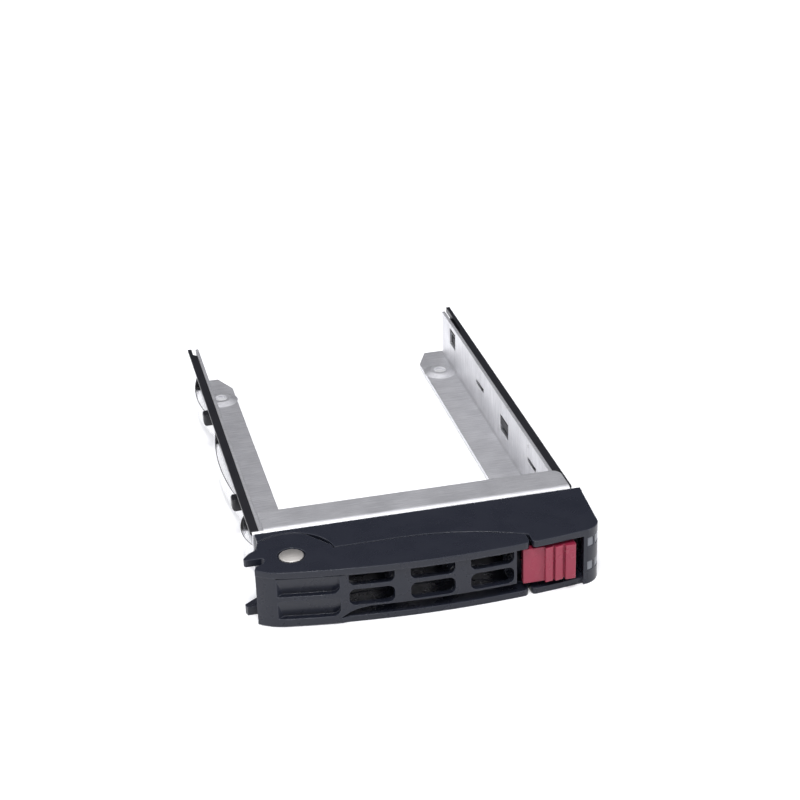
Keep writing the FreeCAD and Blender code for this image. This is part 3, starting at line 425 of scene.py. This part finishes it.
piece("lever_spring_wire", closed_tube("lever_spring_wire", swept_wire(path, wire_r)),
      spring_wire_steel, "caddy", "spring_steel", "lever_spring")

# ------------------------------------------------------------------ the pivot rivet
# A steel rivet with a low domed head in a recess of the lever.  The press has
# left its head a little uneven.

rivet_steel = sheet_metal("rivet_steel", (0.62, 0.59, 0.55, 1), (0.86, 0.83, 0.79, 1), 0.45, 0.3, 0.0003)
finish_node("pivot_rivet", rivet_steel)
finish_node("rivet_washer", rivet_steel)

# --------------------------------------------------------------- the release button
# Red plastic with three thumb ridges.  It slides to the right against a small
# spring and frees the lever's tip.

button_red = moulded_plastic("button_red", (0.275, 0.020, 0.050, 1), (0.60, 0.14, 0.19, 1),
                             0.26, 0.10, 0.00035)
finish_node("release_button", button_red)

# --------------------------------------------------------------- the button's spring
# A small compression coil of the same steel wire, with a closed turn at each
# end.  It stands between the button and the housing.

low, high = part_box("button_spring")
wire_r = 0.175 * MM
mean_r = (high.z - low.z) / 2 - wire_r
turns, coil_steps = 7.0, 320
along = np.linspace(0, 1, coil_steps)
end_share, end_pitch = 1.0 / turns, 2.2 * wire_r
lift = np.clip((along - end_share) / (1 - 2 * end_share), 0, 1)
x = (low.x + wire_r + end_pitch * np.clip(along / end_share, 0, 1)
     + end_pitch * np.clip((along - 1 + end_share) / end_share, 0, 1)
     + (high.x - low.x - 2 * wire_r - 2 * end_pitch) * lift)
angle = 2 * math.pi * turns * along
path = np.stack([x, (low.y + high.y) / 2 + mean_r * np.cos(angle),
                 (low.z + high.z) / 2 + mean_r * np.sin(angle)], -1)
button_coil = piece("button_spring_wire", closed_tube("button_spring_wire", swept_wire(path, wire_r)),
                    spring_wire_steel, "caddy", "spring_steel", "button_spring")
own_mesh(button_coil)

# ------------------------------------------------------------- floor, light and camera
# White paper, a soft lamp above and in front, a fill from each side, and a long
# lens that looks down on the caddy from the left of its front.

floor_z = cad_box[0].z
corners = [(-4.0, -3.0, floor_z), (4.0, -3.0, floor_z), (4.0, 6.0, floor_z), (-4.0, 6.0, floor_z)]
floor_mesh = bpy.data.meshes.new("floor")
floor_mesh.from_pydata(corners, [], [(0, 1, 2, 3)])
floor = bpy.data.objects.new("floor", floor_mesh)
bpy.context.scene.collection.objects.link(floor)
paper, tree, shader = blank_material("white_paper")
shader.inputs["Base Color"].default_value = (0.93, 0.93, 0.94, 1)
shader.inputs["Roughness"].default_value = 0.9
shader.inputs["Specular IOR Level"].default_value = 0.1
paper_glow = 0.25
seen = add(tree, "LightPath")
direct = math_node(tree, "MAXIMUM", seen.outputs["Is Camera Ray"], seen.outputs["Is Glossy Ray"])
direct = math_node(tree, "MAXIMUM", direct, seen.outputs["Is Transmission Ray"])
shader.inputs["Emission Color"].default_value = (1, 1, 1, 1)
tree.links.new(math_node(tree, "MULTIPLY", direct, paper_glow), shader.inputs["Emission Strength"])
floor_mesh.materials.append(paper)

world = bpy.data.worlds.new("studio")
bpy.context.scene.world = world
world.use_nodes = True
tree = world.node_tree
background = tree.nodes["Background"]
direction = add(tree, "SeparateXYZ", {0: add(tree, "TexCoord").outputs["Generated"]})
overhead = ramp(tree, direction.outputs["Z"], 0.55, 0.75)
behind = ramp(tree, direction.outputs["Y"], -0.3, 0.5)
side = mix_colour(tree, behind, (0.50, 0.52, 0.57, 1), (0.05, 0.05, 0.06, 1))
tree.links.new(mix_colour(tree, overhead, side, (0.93, 0.93, 0.96, 1)), background.inputs["Color"])
background.inputs["Strength"].default_value = 1.0


def softbox(name, place, size, watts):
    """A square lamp that faces the middle of the caddy."""
    lamp = bpy.data.lights.new(name, "AREA")
    lamp.size = size
    lamp.energy = watts
    holder = bpy.data.objects.new(name, lamp)
    bpy.context.scene.collection.objects.link(holder)
    holder.location = place
    holder.rotation_euler = (-Vector(place)).to_track_quat("-Z", "Y").to_euler()


softbox("key_softbox", (-0.10, -0.40, 0.85), 0.22, 3.6)
softbox("left_fill", (-0.9, 0.1, 0.35), 0.5, 3.0)
softbox("right_fill", (0.8, -0.5, 0.30), 0.4, 2.0)

lens = bpy.data.cameras.new("camera")
lens.sensor_width = 36.0
lens.lens = 84.105
lens.clip_start = 0.01
lens.clip_end = 20.0
camera = bpy.data.objects.new("camera", lens)
bpy.context.scene.collection.objects.link(camera)
eye = (-0.08505, -0.42035, 0.2226)
azimuth, elevation, roll = math.radians(-12.80), math.radians(26.10), math.radians(-1.85)
back = Vector((math.sin(azimuth) * math.cos(elevation), -math.cos(azimuth) * math.cos(elevation),
               math.sin(elevation)))
right = (-back).cross(Vector((0, 0, 1))).normalized()
up = right.cross(-back).normalized()
turned_right = right * math.cos(roll) + up * math.sin(roll)
turned_up = up * math.cos(roll) - right * math.sin(roll)
camera.matrix_world = Matrix.Translation(eye) @ Matrix(
    (turned_right, turned_up, back)).transposed().to_4x4()
bpy.context.scene.camera = camera
bpy.context.scene.view_settings.view_transform = "Standard"
